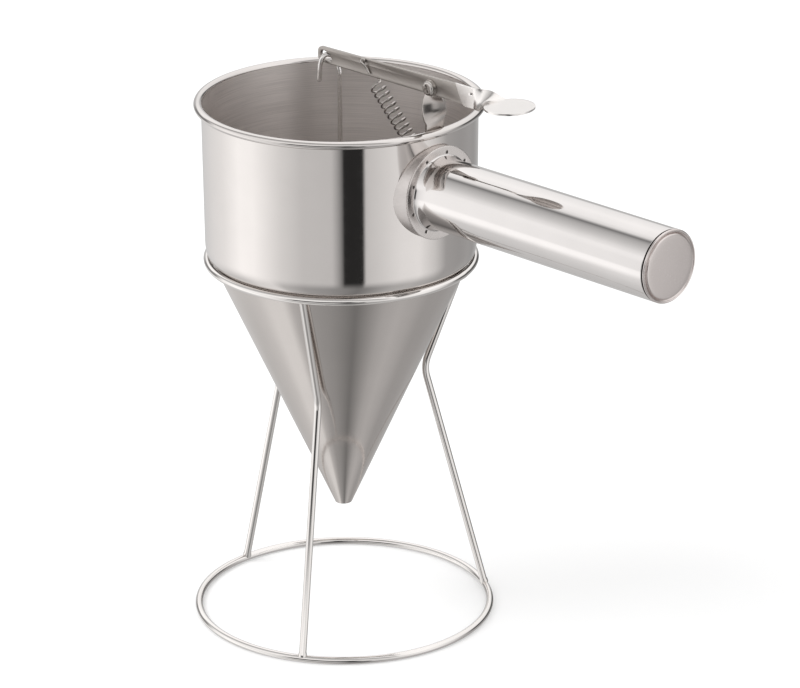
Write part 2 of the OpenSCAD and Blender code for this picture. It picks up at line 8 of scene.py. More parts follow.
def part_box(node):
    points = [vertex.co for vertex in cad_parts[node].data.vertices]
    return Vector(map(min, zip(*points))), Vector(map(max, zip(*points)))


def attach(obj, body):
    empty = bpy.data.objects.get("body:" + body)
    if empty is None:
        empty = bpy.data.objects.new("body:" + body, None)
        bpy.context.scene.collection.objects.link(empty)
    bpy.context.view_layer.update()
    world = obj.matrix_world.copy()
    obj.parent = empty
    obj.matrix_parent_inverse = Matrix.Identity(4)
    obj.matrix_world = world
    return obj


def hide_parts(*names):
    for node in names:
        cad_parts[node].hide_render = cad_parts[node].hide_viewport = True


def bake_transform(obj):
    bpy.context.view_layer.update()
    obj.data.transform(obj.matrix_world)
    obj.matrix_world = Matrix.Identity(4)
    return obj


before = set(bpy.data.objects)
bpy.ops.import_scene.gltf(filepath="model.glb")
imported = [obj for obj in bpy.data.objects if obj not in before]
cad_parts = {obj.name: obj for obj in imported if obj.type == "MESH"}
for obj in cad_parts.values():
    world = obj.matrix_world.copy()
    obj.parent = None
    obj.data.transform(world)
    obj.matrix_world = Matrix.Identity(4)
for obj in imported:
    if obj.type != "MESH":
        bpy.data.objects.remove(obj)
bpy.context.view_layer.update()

scene = bpy.context.scene
scene.view_settings.view_transform = "Standard"
mm = 0.001


# Camera
# A long lens, far off, above the table and on the lever's side of the handle.
camera_place = (1.52343, -1.44152, 0.95355)
camera_heading, camera_tilt, camera_roll = 45.73157, 69.08016, -0.24969
lens_length, film_width = 187.641, 36
bpy.ops.object.camera_add()
camera = bpy.context.object
camera.name = "camera"
camera.data.lens = lens_length
camera.data.sensor_width = film_width
camera.data.sensor_fit = "HORIZONTAL"
camera.matrix_world = (
    Matrix.Translation(camera_place)
    @ Matrix.Rotation(math.radians(camera_heading), 4, "Z")
    @ Matrix.Rotation(math.radians(camera_tilt), 4, "X")
    @ Matrix.Rotation(math.radians(camera_roll), 4, "Z")
)
scene.camera = camera


# Studio
# White walls and floor. Polished steel shows the light panels round the table and the dark gaps
# between them, so those are painted on the world by direction, for glossy rays alone.
def srgb(code):
    """Linear colour of an sRGB hex value."""
    parts = [int(code[i:i + 2], 16) / 255 for i in (1, 3, 5)]
    return (*(c / 12.92 if c <= 0.04045 else ((c + 0.055) / 1.055) ** 2.4 for c in parts), 1)


def add_node(tree, kind, settings=None, links=None):
    """Add a node, set its properties and sockets, and link its sockets to other nodes' outputs."""
    node = tree.nodes.new(kind)
    for name, value in (settings or {}).items():
        if isinstance(name, str) and hasattr(node, name):
            setattr(node, name, value)
        else:
            node.inputs[name].default_value = value
    for name, output in (links or {}).items():
        tree.links.new(output, node.inputs[name])
    return node


def set_ramp(node, stops):
    """Give a colour ramp its stops, as (place, grey level) pairs."""
    elements = node.color_ramp.elements
    while len(elements) < len(stops):
        elements.new(0.5)
    for element, (place, level) in zip(elements, stops):
        element.position = place
        element.color = (level, level, level, 1)
    return node.outputs["Color"]


def compass(degrees):
    """Place of a compass direction, measured from +X, on a radial gradient."""
    return degrees / 360 + 0.5


world = bpy.data.worlds.new("studio")
scene.world = world
world.use_nodes = True
sky = world.node_tree
sky.nodes.clear()
direction = add_node(sky, "ShaderNodeTexCoord").outputs["Generated"]
heading = add_node(sky, "ShaderNodeTexGradient", {"gradient_type": "RADIAL"}, {"Vector": direction})
height = add_node(sky, "ShaderNodeSeparateXYZ", links={"Vector": direction})

# A ramp's colours end at 1, so the levels are divided by this and the light is multiplied by it
panel_scale = 1.6
# Light levels by compass direction, from the table up. Steeply down: the glow of the table
table_glow = [
    (-180, 0.72), (-157, 0.8), (-141, 0.88), (-126, 1.05), (-108, 1.05), (-98, 0.7), (-77, 0.48),
    (-57, 0.42), (-42, 0.34), (-28, 0.25), (-13, 0.4), (4, 0.58), (22, 0.66), (40, 0.6), (56, 0.5),
    (75, 0.5), (97, 0.55), (130, 0.62), (155, 0.68), (180, 0.72)
]
# A little down: a bright panel on the left, a dark gap beside the camera, a softer panel on the
# right and a dim side behind it
side_panels = [
    (-180, 1.0), (-160, 1.15), (-138, 1.45), (-122, 1.42), (-95, 1.0), (-76, 0.8), (-51, 0.76),
    (-46, 0.5), (-42.5, 0.25), (-41, 0.03), (-25.2, 0.03), (-22.5, 0.8), (9, 1.1), (26, 1.15),
    (43, 0.85), (56, 0.5), (75, 0.45), (92, 0.47), (104, 0.42), (120, 0.5), (147, 0.67), (180, 1.0)
]
# At eye level: a bright panel on the left, the camera's dark gap, a wide panel on the right, a
# second dark gap and a dimmer panel
eye_level = [
    (-180, 0.3), (-168, 0.3), (-156, 1.2), (-140, 1.35), (-110, 1.1), (-92, 0.9), (-82, 0.08),
    (-37, 0.05), (-30, 0.75), (12, 1.1), (28, 1.15), (45, 0.9), (58, 0.5), (68, 0.12), (112, 0.12),
    (122, 0.55), (140, 0.7), (158, 0.6), (168, 0.3), (180, 0.3)
]
# The ceiling is a large panel behind the handle, a narrow dark gap and a second panel that grows
# brighter on the camera's side; its levels go by the direction's Y over its height
ceiling_panels = [
    (-2, 1.25), (-1.28, 1.05), (-0.93, 0.87), (-0.67, 0.73), (-0.46, 0.6), (-0.32, 0.42),
    (-0.27, 0.25), (-0.22, 0.35), (-0.09, 1.05), (0.1, 1.25), (0.56, 1.33), (0.95, 1.25), (2, 1.12)
]
ceiling_span = 4
# Heights on the unit sphere between which one band of light fades into the next
table_fade, panel_fade, ceiling_fade = (-0.6, -0.36), (-0.27, -0.16), (0.16, 0.32)
white = srgb("#ffffff")


def around(stops):
    """Ramp of light levels round the compass."""
    ramp = add_node(sky, "ShaderNodeValToRGB", links={"Fac": heading.outputs["Fac"]})
    return set_ramp(ramp, [(compass(a), level / panel_scale) for a, level in stops])


def between(low, high):
    """0 below a height and 1 above another one."""
    return add_node(
        sky, "ShaderNodeMapRange",
        {"interpolation_type": "SMOOTHSTEP", "From Min": low, "From Max": high},
        {"Value": height.outputs["Z"]}
    ).outputs["Result"]


def mixed(factor, low, high):
    """Blend of two colours by a factor."""
    return add_node(
        sky, "ShaderNodeMix", {"data_type": "RGBA"}, {0: factor, 6: low, 7: high}
    ).outputs[2]


lean = add_node(
    sky, "ShaderNodeMath", {"operation": "DIVIDE"},
    {0: height.outputs["Y"], 1: height.outputs["Z"]}
)
lean_share = add_node(
    sky, "ShaderNodeMath", {"operation": "MULTIPLY_ADD", 1: 1 / ceiling_span, 2: 0.5},
    {0: lean.outputs[0]}
)
ceiling = add_node(sky, "ShaderNodeValToRGB", links={"Fac": lean_share.outputs[0]})
roof = set_ramp(
    ceiling, [(ratio / ceiling_span + 0.5, level / panel_scale) for ratio, level in ceiling_panels]
)
lower = mixed(between(*table_fade), around(table_glow), around(side_panels))
sides = mixed(between(*panel_fade), lower, around(eye_level))
studio = mixed(between(*ceiling_fade), sides, roof)
studio_light = add_node(
    sky, "ShaderNodeVectorMath", {"operation": "SCALE", "Scale": panel_scale}, {0: studio}
).outputs[0]
rays = add_node(sky, "ShaderNodeLightPath")
seen = add_node(
    sky, "ShaderNodeMix", {"data_type": "RGBA", 6: white},
    {0: rays.outputs["Is Glossy Ray"], 7: studio_light}
)
background = add_node(
    sky, "ShaderNodeBackground", {"Strength": 1}, {"Color": seen.outputs[2]}
)
add_node(sky, "ShaderNodeOutputWorld", links={"Surface": background.outputs[0]})

# Floor: white paper, lit by the walls and a large soft lamp that gives the object its shadow.
# The camera sees the paper a little brighter than it lights the object.
floor_radius = 6
paper_grey = (0.8, 0.8, 0.8, 1)
paper_lift = 0.2
lamp_place = (-0.9, -1.4, 2.2)
lamp_size = 1.6
lamp_watts = 22
bpy.ops.object.select_all(action="DESELECT")
bpy.ops.mesh.primitive_circle_add(vertices=64, radius=floor_radius, fill_type="NGON")
floor = bpy.context.object
floor.name = "floor"
floor.visible_glossy = False
paper = bpy.data.materials.new("white_paper")
paper.use_nodes = True
paper_tree = paper.node_tree
paper_tree.nodes.clear()
paper_matt = add_node(paper_tree, "ShaderNodeBsdfDiffuse", {"Color": paper_grey})
paper_glow = add_node(paper_tree, "ShaderNodeEmission", {"Color": white, "Strength": paper_lift})
paper_sum = add_node(
    paper_tree, "ShaderNodeAddShader", links={0: paper_matt.outputs[0], 1: paper_glow.outputs[0]}
)
paper_rays = add_node(paper_tree, "ShaderNodeLightPath")
paper_mix = add_node(
    paper_tree, "ShaderNodeMixShader",
    links={0: paper_rays.outputs["Is Camera Ray"], 1: paper_matt.outputs[0], 2: paper_sum.outputs[0]}
)
add_node(paper_tree, "ShaderNodeOutputMaterial", links={"Surface": paper_mix.outputs[0]})
floor.data.materials.append(paper)

bpy.ops.object.light_add(type="AREA", location=lamp_place)
lamp = bpy.context.object
lamp.name = "soft_lamp"
lamp.data.shape = "DISK"
lamp.data.size = lamp_size
lamp.data.energy = lamp_watts
lamp.visible_glossy = False
lamp.rotation_euler = (Vector((0, 0, 0)) - lamp.location).to_track_quat("-Z", "Y").to_euler()


# Stand rings
# Bright-drawn stainless wire, 4 mm thick, rolled to rings and butt-welded; the floor ring is
# ground flat underneath. The weld leaves a low swelling that was dressed by hand.
wire_radius = 2 * mm
weld_half = 3 * mm
weld_height = 0.12 * mm
# Smudges of handling and polish, and how much of the colour they leave
smudge_size = 20 * mm
smudge_tone = 0.93
# The grain's height from its deepest to its highest lines, for its gloss and for its tone
gloss_levels = (0.3, 0.7)
tone_levels = (0.35, 0.65)


def steel(name, colour, roughness, spread, grain_mm, stretch, bump_mm, metal=1.0, streaks=0.0):
    """Stainless steel: a base colour with faint smudges, and a fine grain that scatters its gloss.

    grain_mm is the spacing of the grain's lines; stretch gives their scale along X, Y and Z;
    streaks is how much darker its deepest lines are."""
    material = bpy.data.materials.new(name)
    material.use_nodes = True
    tree = material.node_tree
    shader = tree.nodes["Principled BSDF"]
    shader.inputs["Metallic"].default_value = metal
    place = add_node(tree, "ShaderNodeTexCoord").outputs["Object"]
    laid = add_node(tree, "ShaderNodeMapping", {"Scale": stretch}, {"Vector": place})
    grain = add_node(
        tree, "ShaderNodeTexNoise", {"Scale": 1 / (grain_mm * mm), "Detail": 3, "Roughness": 0.6},
        {"Vector": laid.outputs[0]}
    )
    gloss = add_node(
        tree, "ShaderNodeMapRange",
        {"From Min": gloss_levels[0], "From Max": gloss_levels[1],
         "To Min": roughness - spread, "To Max": roughness + spread},
        {"Value": grain.outputs["Fac"]}
    )
    tree.links.new(gloss.outputs["Result"], shader.inputs["Roughness"])
    height = add_node(
        tree, "ShaderNodeBump", {"Strength": 1, "Distance": bump_mm * mm},
        {"Height": grain.outputs["Fac"]}
    )
    tree.links.new(height.outputs[0], shader.inputs["Normal"])
    smudge = add_node(
        tree, "ShaderNodeTexNoise", {"Scale": 1 / smudge_size, "Detail": 2}, {"Vector": place}
    )
    clean = srgb(colour)
    dull = tuple(c * smudge_tone for c in clean[:3]) + (1,)
    tone = add_node(
        tree, "ShaderNodeMix", {"data_type": "RGBA", 6: clean, 7: dull}, {0: smudge.outputs["Fac"]}
    )
    shade = add_node(
        tree, "ShaderNodeMapRange",
        {"From Min": tone_levels[0], "From Max": tone_levels[1],
         "To Min": 1 - streaks, "To Max": 1},
        {"Value": grain.outputs["Fac"]}
    )
    streaked = add_node(
        tree, "ShaderNodeVectorMath", {"operation": "SCALE"},
        {0: tone.outputs[2], "Scale": shade.outputs["Result"]}
    )
    tree.links.new(streaked.outputs[0], shader.inputs["Base Color"])
    return material


# Drawn wire: bright, with a faint unevenness left by the die
drawn_wire = steel("drawn_stainless_wire", "#e4e0dd", 0.06, 0.015, 0.9, (1, 1, 1), 0.001)


def finish(piece, name, material, body, nodes, angle=35):
    """Name a finished piece, smooth it, give it its material and tie it to its body, if it has one."""
    bpy.ops.object.select_all(action="DESELECT")
    bpy.context.view_layer.objects.active = piece
    piece.select_set(True)
    bpy.ops.object.transform_apply(location=True, rotation=True, scale=True)
    bpy.ops.object.shade_smooth_by_angle(angle=math.radians(angle))
    piece.name = name
    piece.data.name = name
    if material.name not in piece.data.materials:
        piece.data.materials.append(material)
    if body:
        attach(piece, body)
    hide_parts(*nodes)


def wire_ring(node, weld_heading):
    """Ring of round wire in the place of a CAD ring, with its butt weld at a compass direction."""
    low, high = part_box(node)
    bpy.ops.object.select_all(action="DESELECT")
    bpy.ops.mesh.primitive_torus_add(
        major_radius=(high.x - low.x) / 2 - wire_radius, minor_radius=wire_radius,
        major_segments=288, minor_segments=24, location=(0, 0, high.z - wire_radius)
    )
    ring = bpy.context.object
    bpy.ops.object.transform_apply(location=True, rotation=True, scale=True)
    weld = math.radians(weld_heading)
    weld_way = Vector((-math.sin(weld), math.cos(weld), 0))
    weld_side = Vector((math.cos(weld), math.sin(weld), 0))
    for vertex in ring.data.vertices:
        along = vertex.co.dot(weld_way)
        if vertex.co.dot(weld_side) > 0 and abs(along) < weld_half:
            swelling = weld_height * math.cos(math.pi / 2 * along / weld_half)
            vertex.co += vertex.normal * swelling
        vertex.co.z = max(vertex.co.z, 0)
    finish(ring, node + "_wire", drawn_wire, "stand", [node])


wire_ring("stand_base_ring", 150)
wire_ring("stand_top_ring", 20)


# Stand legs
# The same wire, each bent once and resistance-welded to both rings. The ends are pressed a
# little into the rings, and a collar of upset metal stands round them.
leg_bend_radius = 20 * mm
leg_bend = Vector((45.4 * mm, 0, 135 * mm))
bend_steps = 14
# Distances from the middle of a ring's wire: to the leg's end, to the end of the collar's full
# width, and to the plain wire
leg_stops = (0.9 * mm, wire_radius + 0.3 * mm, wire_radius + 1.6 * mm)
# Shares of the wire's radius; the upper collar stays clear of the cone
low_collar, high_collar = 1.18, 1.03


def wire(route, radius, shares=None, smooth=False):
    """Round wire along a route; shares widen or narrow it at each point of the route."""
    bpy.ops.object.select_all(action="DESELECT")
    bpy.ops.curve.primitive_bezier_curve_add()
    piece = bpy.context.object
    curve = piece.data
    curve.splines.clear()
    spline = curve.splines.new("BEZIER" if smooth else "POLY")
    points = spline.bezier_points if smooth else spline.points
    points.add(len(route) - 1)
    for point, place, share in zip(points, route, shares or [1] * len(route)):
        if smooth:
            point.co = place
            point.handle_left_type = point.handle_right_type = "AUTO"
        else:
            point.co = (*place, 1)
        point.radius = share
    curve.resolution_u = 8
    curve.bevel_depth = radius
    curve.bevel_resolution = 4
    curve.use_fill_caps = True
    bpy.ops.object.convert(target="MESH")
    return bpy.context.object


def leg_route(low, bend, high):
    """Points up a leg in its own plane, with their shares of the wire's radius."""
    low_way = (low - bend).normalized()
    high_way = (high - bend).normalized()
    half_turn = low_way.angle(high_way) / 2
    cut_back = leg_bend_radius / math.tan(half_turn)
    middle = bend + (low_way + high_way).normalized() * leg_bend_radius / math.sin(half_turn)
    start = (bend + low_way * cut_back - middle).normalized()
    stop = (bend + high_way * cut_back - middle).normalized()
    turns = [start.slerp(stop, i / bend_steps) for i in range(bend_steps + 1)]
    curve = [middle + turn * leg_bend_radius for turn in turns]
    low_stops = [low - low_way * reach for reach in leg_stops]
    high_stops = [high - high_way * reach for reach in reversed(leg_stops)]
    shares = [low_collar, low_collar, 1] + [1] * len(curve) + [1, high_collar, high_collar]
    return low_stops + curve + high_stops, shares


base_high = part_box("stand_base_ring")[1]
top_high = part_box("stand_top_ring")[1]
leg_low = Vector((base_high.x - wire_radius, 0, base_high.z - wire_radius))
leg_high = Vector((top_high.x - wire_radius, 0, top_high.z - wire_radius))
for node, leg_heading in (("stand_leg_left", 60), ("stand_leg_rear", 180), ("stand_leg_right", -60)):
    route, shares = leg_route(leg_low, leg_bend, leg_high)
    turn = Matrix.Rotation(math.radians(leg_heading), 3, "Z")
    leg = wire([turn @ point for point in route], wire_radius, shares)
    finish(leg, node + "_wire", drawn_wire, "stand", [node])


# Bowl
# Deep-drawn stainless sheet, 0.8 mm: a skirt over the cone's lip, a rounded shoulder, a wall that
# opens a little and a rim rolled outwards. Mirror-polished outside, brushed round inside.
sheet = 0.8 * mm
polished_sheet = steel("polished_stainless_sheet", "#d5d0cd", 0.07, 0.015, 6, (1, 1, 1), 0.004)
# Brushing lines run round the bowl; real ones are 0.1 mm apart, drawn 0.4 mm apart to show. They
# spread the gloss up and down, and keep it narrow along the lines.
brushed_inside = steel(
    "brushed_stainless_sheet", "#e7e0dc", 0.36, 0.05, 0.4, (0.012, 0.012, 1), 0.0015, 0.9, 0.16
)
brushed_tree = brushed_inside.node_tree
brushed_shader = brushed_tree.nodes["Principled BSDF"]
brushed_shader.inputs["Anisotropic"].default_value = 0.92
brushed_shader.inputs["Anisotropic Rotation"].default_value = 0.25
brushed_way = add_node(brushed_tree, "ShaderNodeTangent", {"direction_type": "RADIAL", "axis": "Z"})
brushed_tree.links.new(brushed_way.outputs[0], brushed_shader.inputs["Tangent"])


def turned(outline, segments=256):
    """Turn an outline of (radius, height) points round the Z axis; doubled points are merged."""
    bpy.ops.object.select_all(action="DESELECT")
    first_radius, first_height = outline[0]
    bpy.ops.mesh.primitive_circle_add(
        vertices=segments, radius=first_radius, location=(0, 0, first_height)
    )
    piece = bpy.context.object
    bpy.ops.object.transform_apply(location=True, rotation=True, scale=True)
    bpy.ops.object.mode_set(mode="EDIT")
    for (radius, height), (next_radius, next_height) in zip(outline, outline[1:]):
        bpy.ops.mesh.extrude_region_move(
            TRANSFORM_OT_translate={"value": (0, 0, next_height - height)}
        )
        widening = next_radius / radius
        bpy.ops.transform.resize(
            value=(widening, widening, 1), center_override=(0, 0, next_height)
        )
    bpy.ops.mesh.select_all(action="SELECT")
    bpy.ops.mesh.remove_doubles(threshold=0.004 * mm)
    bpy.ops.mesh.normals_make_consistent(inside=False)
    bpy.ops.object.mode_set(mode="OBJECT")
    return piece


def arc(radius, height, across, up, start, stop, steps):
    """Points of an ellipse's arc round (radius, height), with its angles in degrees."""
    turns = [math.radians(start + (stop - start) * i / steps) for i in range(steps + 1)]
    return [(radius + across * math.cos(a), height + up * math.sin(a)) for a in turns]


bowl_low, bowl_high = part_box("funnel_bowl")
cone_low, cone_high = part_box("funnel_cone")
skirt_bottom = bowl_low.z
skirt_radius = cone_high.x + 0.05 * mm + sheet
foot_radius = skirt_radius + 1.6 * mm
wall_radius = foot_radius + 0.7 * mm
foot_height = skirt_bottom + 8.8 * mm
bead_up = 2.1 * mm
bead_height = bowl_high.z - bead_up
bead_across = (bowl_high.x - wall_radius + sheet) / 2
bead_radius = bowl_high.x - bead_across
# Place on the bead, in degrees, where it meets the outside of the wall
bead_crevice = -131.5
shoulder = 10 * mm
shoulder_middle = foot_radius - shoulder
shoulder_across, shoulder_up = 2.02 * mm, 8.64 * mm
shoulder_turn = 78
shoulder_turn_in = math.degrees(
    math.acos((skirt_radius - sheet - shoulder_middle) / (shoulder - sheet))
)
edge = 0.15 * mm
bowl_outline = (
    [(skirt_radius - sheet + edge, skirt_bottom), (skirt_radius - edge, skirt_bottom)]
    + arc(foot_radius - shoulder_across, foot_height, shoulder_across, shoulder_up,
          -shoulder_turn, 0, 20)
    + arc(bead_radius, bead_height, bead_across, bead_up, bead_crevice, 180, 28)
    + arc(shoulder_middle, foot_height, shoulder - sheet, shoulder - sheet, 0, -shoulder_turn_in, 10)
    + [(skirt_radius - sheet, skirt_bottom + edge), (skirt_radius - sheet + edge, skirt_bottom)]
)
bowl = turned(bowl_outline)


def paint_inside(piece, material, top):
    """Give the faces that look at the Z axis, below a height, a second material."""
    piece.data.materials.append(material)
    bpy.ops.object.mode_set(mode="EDIT")
    bpy.ops.mesh.select_all(action="DESELECT")
    mesh = bmesh.from_edit_mesh(piece.data)
    for face in mesh.faces:
        middle = face.calc_center_median()
        inward = face.normal.dot(Vector((middle.x, middle.y, 0))) < 0
        face.select_set(inward and middle.z < top)
    bmesh.update_edit_mesh(piece.data)
    piece.active_material_index = len(piece.data.materials) - 1
    bpy.ops.object.material_slot_assign()
    bpy.ops.object.mode_set(mode="OBJECT")


bowl.data.materials.append(polished_sheet)
paint_inside(bowl, brushed_inside, bead_height)
finish(bowl, "bowl_sheet", polished_sheet, "funnel", ["funnel_bowl"], 25)


# Cone
# Stainless sheet rolled to a cone and welded along one side, the weld ground away, then polished
# to a satin gloss. Its lip stands inside the bowl's skirt. The polishing lines run round the cone
# and are drawn 1.2 mm apart to show.
satin_cone = steel("satin_stainless_cone", "#cfc9c5", 0.11, 0.02, 1.2, (0.3, 0.3, 1), 0.003)
cone_inside = steel("brushed_stainless_cone", "#bdb7b3", 0.32, 0.05, 0.9, (0.02, 0.02, 1), 0.02)
lip_height = 3 * mm
outlet_radius = 4.5 * mm
lip_radius = cone_high.x
cone_edge = cone_high.z - lip_height
slope = (lip_radius - outlet_radius) / (cone_edge - cone_low.z)
across = sheet / math.cos(math.atan(slope))
cone_outline = [
    (outlet_radius - across + edge, cone_low.z), (outlet_radius - edge, cone_low.z),
    (outlet_radius + edge * slope, cone_low.z + edge), (lip_radius, cone_edge),
    (lip_radius, cone_high.z), (lip_radius - sheet, cone_high.z),
    (lip_radius - sheet, cone_edge + (across - sheet) / slope),
    (outlet_radius - across + edge * slope, cone_low.z + edge),
    (outlet_radius - across + edge, cone_low.z)
]
cone = turned(cone_outline)
cone.data.materials.append(satin_cone)
paint_inside(cone, cone_inside, cone_high.z)
finish(cone, "cone_sheet", satin_cone, "funnel", ["funnel_cone"], 25)


# Saddle
# Pressed from sheet: a round flat face with a rounded edge, on a low boss whose sides lean out to
# the bowl's wall. Nine spot welds round the handle leave small pits in the face, their middles
# painted dark as painted shade.
saddle_low, saddle_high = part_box("handle_saddle")
tube_low, tube_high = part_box("handle_tube")
cap_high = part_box("handle_end_cap")[1]
handle_height = (tube_low.z + tube_high.z) / 2
handle_radius = (tube_high.z - tube_low.z) / 2
saddle_radius = (saddle_high.z - saddle_low.z) / 2
saddle_face = saddle_high.x
saddle_rounding = 0.45 * mm
saddle_sheet = 1 * mm
boss_radius = saddle_radius - 0.4 * mm
boss_lean = math.tan(math.radians(20))
wall_sink = 0.3 * mm
spot_ring = 21.6 * mm
spot_radius = 1.1 * mm
spot_depth = 0.5 * mm
spot_count = 9
first_spot = 119
# Share of a spot weld's radius painted dark as the shade in its pit
spot_shade_share = 0.8
# Radii in millimetres of the face's rows, close together where the spot welds lie
face_rows = (23, 22.5, 22, 21.6, 21.2, 20.8, 20.4, 20, 19.6, 19.2, 18.8)
# Up to this height the outline is a share, 1 mm for the whole, of the way from the wall to the
# back of the face
wall_zone = 1.5 * mm
# The face's height while the saddle is turned
face_level = 20 * mm


def wall_reach(y):
    """Distance along X to which the boss reaches, just inside the bowl's outer wall."""
    return math.sqrt((wall_radius - wall_sink) ** 2 - y * y)


def lay_along_x(piece, start_x):
    """Turn a piece's Z axis to +X, on the handle's axis."""
    piece.rotation_euler = (0, math.radians(90), 0)
    piece.location = (start_x, 0, handle_height)
    bpy.ops.object.transform_apply(location=True, rotation=True, scale=True)


saddle_outline = (
    [(boss_radius, share * mm) for share in (0, 0.25, 0.5, 0.75, 1)]
    + [(saddle_radius - 0.2 * mm, face_level - saddle_sheet)]
    + arc(saddle_radius - saddle_rounding, face_level - saddle_rounding, saddle_rounding,
          saddle_rounding, 0, 90, 8)
    + [(row * mm, face_level) for row in face_rows]
    + [(handle_radius - 2 * mm, face_level)]
)
saddle = turned(saddle_outline, 384)
lay_along_x(saddle, 0)
spot_turns = [math.radians(first_spot + 360 * i / spot_count) for i in range(spot_count)]
spots = [(spot_ring * math.cos(turn), spot_ring * math.sin(turn)) for turn in spot_turns]


def from_spot(y, z, spot):
    """Distance of a place on the face from a spot weld, in the weld's radii."""
    return math.hypot(y - spot[0], z - handle_height - spot[1]) / spot_radius


for vertex in saddle.data.vertices:
    x, y, z = vertex.co
    if x < wall_zone:
        # The sides lean out where the wall lies far behind the face, and stand upright above and
        # below the handle
        sideways = y / boss_radius
        depth = saddle_face - saddle_sheet - wall_reach(y)
        leaning = boss_lean * depth * sideways ** 2 / boss_radius
        widening = 1 + leaning * (1 - x / mm)
        wall = wall_reach(y * (1 + leaning))
        vertex.co.y = y * widening
        vertex.co.z = handle_height + (z - handle_height) * widening
        vertex.co.x = wall + (saddle_face - saddle_sheet - wall) * x / mm
    else:
        vertex.co.x = saddle_face + x - face_level
    for spot in spots:
        away = from_spot(y, z, spot)
        if away < 1:
            vertex.co.x -= spot_depth * (1 - away * away) ** 2


def paint_where(piece, material, chosen):
    """Give the faces whose middle answers a test a further material."""
    piece.data.materials.append(material)
    slot = len(piece.data.materials) - 1
    for face in piece.data.polygons:
        if chosen(face.center):
            face.material_index = slot


satin_saddle = steel("satin_stainless_pressing", "#dbd5d2", 0.27, 0.03, 1.5, (1, 1, 1), 0.003)
# The boss behind the face is a lighter copy of the face's steel: painted light that lifts its shade
# and its reflection in the bowl's wall
boss_lifted_steel = steel("satin_stainless_boss_painted_light", "#e2dcd9", 0.42, 0.04, 1.5, (1, 1, 1), 0.003)
saddle.data.materials.append(satin_saddle)
paint_where(saddle, boss_lifted_steel, lambda place: place.x < saddle_face - 1.1 * saddle_sheet)
# The middles of the spot-weld pits are painted dark: painted shade in the hollows
pit_shade_paint = steel("painted_pit_shade", "#4a4542", 0.6, 0.08, 0.3, (1, 1, 1), 0.004, 0.2)
paint_where(saddle, pit_shade_paint, lambda place: place.x > saddle_face - saddle_rounding and any(
    from_spot(place.y, place.z, spot) < spot_shade_share for spot in spots
))
finish(saddle, "saddle_plate", satin_saddle, "funnel", ["handle_saddle"], 40)


# Handle tube
# Welded stainless tube, 38 mm, drawn and mirror-polished. Its foot flares out on the saddle's
# face, where the weld is polished with it. The edge of the outer end is rounded off.
mirror_tube = steel("mirror_stainless_tube", "#dad6d4", 0.055, 0.01, 8, (0.3, 1, 1), 0.003)
tube_wall = 1 * mm
flare_out, flare_along = 1.6 * mm, 6.5 * mm
tube_length = tube_high.x - saddle_face
end_round = 0.35 * mm
tube_outline = (
    arc(handle_radius + flare_out, flare_along, flare_out, flare_along, -90, -180, 16)
    + arc(handle_radius - end_round, tube_length - end_round, end_round, end_round, 0, 90, 4)
    + [(handle_radius - tube_wall, tube_length), (handle_radius - tube_wall, 0),
       (handle_radius + flare_out, 0)]
)
tube = turned(tube_outline)
lay_along_x(tube, saddle_face)
finish(tube, "handle_tube_shell", mirror_tube, "funnel", ["handle_tube"])


# End cap
# Pressed stainless cap pushed into the tube: a low rolled lip, a narrow groove and a raised,
# slightly domed face with a satin finish. Its seam with the tube is painted near black, as painted
# shade in the gap.
satin_cap = steel("satin_stainless_cap", "#d9d1ce", 0.24, 0.04, 0.7, (1, 1, 1), 0.002)
cap_reach = cap_high.x - tube_high.x
cap_skirt, cap_skirt_radius = 4 * mm, handle_radius - 1.3 * mm
seam_gap = 0.7 * mm
lip_round = 0.6 * mm
groove_floor = 1.2 * mm
groove_across, groove_depth = 0.75 * mm, 0.5 * mm
face_radius = 16.9 * mm
face_round = 0.9 * mm
dome_rise = 0.2 * mm
face_level_out = cap_reach - dome_rise
cap_outline = (
    [(cap_skirt_radius, -cap_skirt), (cap_skirt_radius, seam_gap)]
    + arc(handle_radius - lip_round, seam_gap + lip_round, lip_round, lip_round, -80, 90, 10)
    + arc(handle_radius - lip_round, groove_floor + groove_depth, groove_across, groove_depth,
          90, 180, 5)
    + [(face_radius, groove_floor)]
    + arc(face_radius - face_round, face_level_out - face_round, face_round, face_round, 0, 90, 7)
    + [(face_radius * share, cap_reach - dome_rise * share ** 2)
       for share in (0.8, 0.6, 0.4, 0.2, 0.02)]
    + [(0.001 * mm, cap_reach)]
)
cap = turned(cap_outline)
lay_along_x(cap, tube_high.x)
cap.data.materials.append(satin_cap)
# The cap's faces in the gap at the tube's end are painted near black: painted shade of the seam
seam_shade_paint = steel("painted_seam_shade", "#0c0b0a", 0.6, 0.08, 0.3, (1, 1, 1), 0.004, 0)
paint_where(cap, seam_shade_paint, lambda place: place.x < tube_high.x + seam_gap + 0.1 * mm)
finish(cap, "handle_cap", satin_cap, "funnel", ["handle_end_cap"])


# Pivot bracket
# Stainless strip, 12.3 by 1.5 mm, spot-welded to the inside of the bowl's wall, with a quarter
# twist above the weld. The pivot screw goes through its top end, and a small eye holds the spring.
bracket_low, bracket_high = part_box("pivot_bracket")
strip_width = 12.3 * mm
strip_thickness = 1.5 * mm
twist_start = bracket_low.z + 37.5 * mm
twist_end = twist_start + 14.5 * mm
strip_middle = Vector((
    bracket_high.x - strip_width / 2, (bracket_low.y + bracket_high.y) / 2, bracket_low.z
))
twist_steps = 20


def smooth(t):
    """Ease from 0 to 1."""
    return t * t * (3 - 2 * t)


